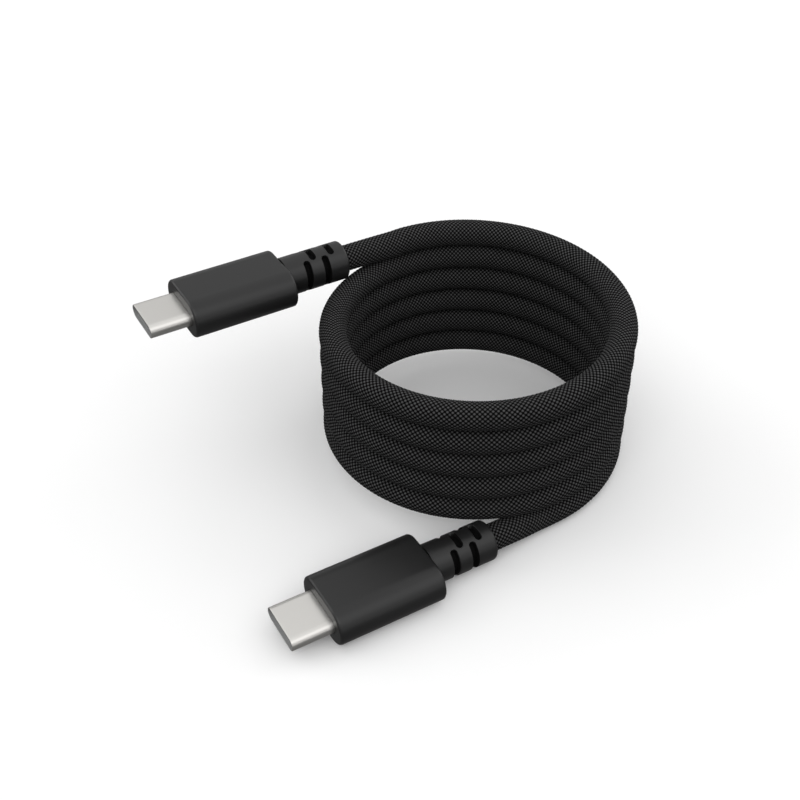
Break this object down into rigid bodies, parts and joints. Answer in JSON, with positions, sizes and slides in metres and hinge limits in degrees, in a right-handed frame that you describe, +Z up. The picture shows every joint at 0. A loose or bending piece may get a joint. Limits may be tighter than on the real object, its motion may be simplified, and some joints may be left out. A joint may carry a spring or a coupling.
{
  "type": "charging cable",
  "caption": "Black braided charging cable wound into a self-holding cylinder of turns, with a USB-C plug and a slotted strain relief at each end.",
  "frame": {"origin": "midway between the two plugs, on the surface that the cable lies on", "axes": "+Z up along the coil's axis; both plugs point to -X; +Y towards the plug at the coil's upper end"},
  "size_m": [0.0732, 0.0596, 0.0305],
  "materials": {
    "braid": "black plain-weave braid, matt",
    "soft_black": "soft-touch matt black",
    "shell_nickel": "satin nickel",
    "spring_steel": "plain stamped",
    "contact_gold": "gold plated",
    "insulator_grey": "moulded",
    "board_green": "solder mask",
    "jacket_black": "matt",
    "wire_red": "smooth",
    "wire_black": "smooth",
    "wire_green": "smooth",
    "wire_white": "smooth",
    "wire_blue": "smooth"
  },
  "bodies": {
    "cable": {"cable_coil": "braid", "cable_lead_a": "braid", "cable_lead_b": "braid"},
    "plug_a": {"overmould_a": "soft_black", "strain_relief_a": "soft_black", "shell_a": "shell_nickel", "insulator_a": "insulator_grey", "rear_shield_a": "spring_steel", "paddle_card_a": "board_green", "emi_spring_upper_a": "spring_steel", "emi_spring_lower_a": "spring_steel", "cable_end_a": "jacket_black", "wire_vbus_a": "wire_red", "wire_ground_a": "wire_black", "wire_data_plus_a": "wire_green", "wire_data_minus_a": "wire_white", "wire_config_a": "wire_blue"},
    "contacts_upper_a": {"contact_upper_1_a": "contact_gold", "contact_upper_4_a": "contact_gold", "contact_upper_5_a": "contact_gold", "contact_upper_6_a": "contact_gold", "contact_upper_7_a": "contact_gold", "contact_upper_9_a": "contact_gold", "contact_upper_12_a": "contact_gold"},
    "contacts_lower_a": {"contact_lower_1_a": "contact_gold", "contact_lower_4_a": "contact_gold", "contact_lower_5_a": "contact_gold", "contact_lower_9_a": "contact_gold", "contact_lower_12_a": "contact_gold"},
    "latch_left_a": {"latch_left_a": "spring_steel"},
    "latch_right_a": {"latch_right_a": "spring_steel"},
    "plug_b": {"overmould_b": "soft_black", "strain_relief_b": "soft_black", "shell_b": "shell_nickel", "insulator_b": "insulator_grey", "rear_shield_b": "spring_steel", "paddle_card_b": "board_green", "emi_spring_upper_b": "spring_steel", "emi_spring_lower_b": "spring_steel", "cable_end_b": "jacket_black", "wire_vbus_b": "wire_red", "wire_ground_b": "wire_black", "wire_data_plus_b": "wire_green", "wire_data_minus_b": "wire_white", "wire_config_b": "wire_blue"},
    "contacts_upper_b": {"contact_upper_1_b": "contact_gold", "contact_upper_4_b": "contact_gold", "contact_upper_5_b": "contact_gold", "contact_upper_6_b": "contact_gold", "contact_upper_7_b": "contact_gold", "contact_upper_9_b": "contact_gold", "contact_upper_12_b": "contact_gold"},
    "contacts_lower_b": {"contact_lower_1_b": "contact_gold", "contact_lower_4_b": "contact_gold", "contact_lower_5_b": "contact_gold", "contact_lower_9_b": "contact_gold", "contact_lower_12_b": "contact_gold"},
    "latch_left_b": {"latch_left_b": "spring_steel"},
    "latch_right_b": {"latch_right_b": "spring_steel"}
  },
  "joints": [
    {"name": "plug_a_swing", "type": "hinge", "parent": "cable", "child": "plug_a", "pos_m": [0.018, 0.02363, 0.02728], "axis": [0, 0, 1], "range_deg": [-35, 8], "stiffness_Nm_per_rad": 0.02, "deforming": ["strain_relief_a", "cable_lead_a"]},
    {"name": "contacts_upper_a_flex", "type": "hinge", "parent": "plug_a", "child": "contacts_upper_a", "pos_m": [-0.0051, 0.02363, 0.02777], "axis": [0, 1, 0], "range_deg": [0, 1.2], "stiffness_Nm_per_rad": 2},
    {"name": "contacts_lower_a_flex", "type": "hinge", "parent": "plug_a", "child": "contacts_lower_a", "pos_m": [-0.0051, 0.02363, 0.02678], "axis": [0, 1, 0], "range_deg": [-1.2, 0], "stiffness_Nm_per_rad": 1.4},
    {"name": "latch_left_a_flex", "type": "hinge", "parent": "plug_a", "child": "latch_left_a", "pos_m": [-0.0047, 0.02007, 0.02728], "axis": [0, 0, 1], "range_deg": [0, 1.1], "stiffness_Nm_per_rad": 0.8},
    {"name": "latch_right_a_flex", "type": "hinge", "parent": "plug_a", "child": "latch_right_a", "pos_m": [-0.0047, 0.02718, 0.02728], "axis": [0, 0, 1], "range_deg": [-1.1, 0], "stiffness_Nm_per_rad": 0.8},
    {"name": "plug_b_swing", "type": "hinge", "parent": "cable", "child": "plug_b", "pos_m": [0.01745, -0.02363, 0.00325], "axis": [0, 0, 1], "range_deg": [-8, 35], "stiffness_Nm_per_rad": 0.02, "deforming": ["strain_relief_b", "cable_lead_b"]},
    {"name": "contacts_upper_b_flex", "type": "hinge", "parent": "plug_b", "child": "contacts_upper_b", "pos_m": [-0.00565, -0.02363, 0.00374], "axis": [0, 1, 0], "range_deg": [0, 1.2], "stiffness_Nm_per_rad": 2},
    {"name": "contacts_lower_b_flex", "type": "hinge", "parent": "plug_b", "child": "contacts_lower_b", "pos_m": [-0.00565, -0.02363, 0.00276], "axis": [0, 1, 0], "range_deg": [-1.2, 0], "stiffness_Nm_per_rad": 1.4},
    {"name": "latch_left_b_flex", "type": "hinge", "parent": "plug_b", "child": "latch_left_b", "pos_m": [-0.00525, -0.02718, 0.00325], "axis": [0, 0, 1], "range_deg": [0, 1.1], "stiffness_Nm_per_rad": 0.8},
    {"name": "latch_right_b_flex", "type": "hinge", "parent": "plug_b", "child": "latch_right_b", "pos_m": [-0.00525, -0.02007, 0.00325], "axis": [0, 0, 1], "range_deg": [-1.1, 0], "stiffness_Nm_per_rad": 0.8}
  ]
}
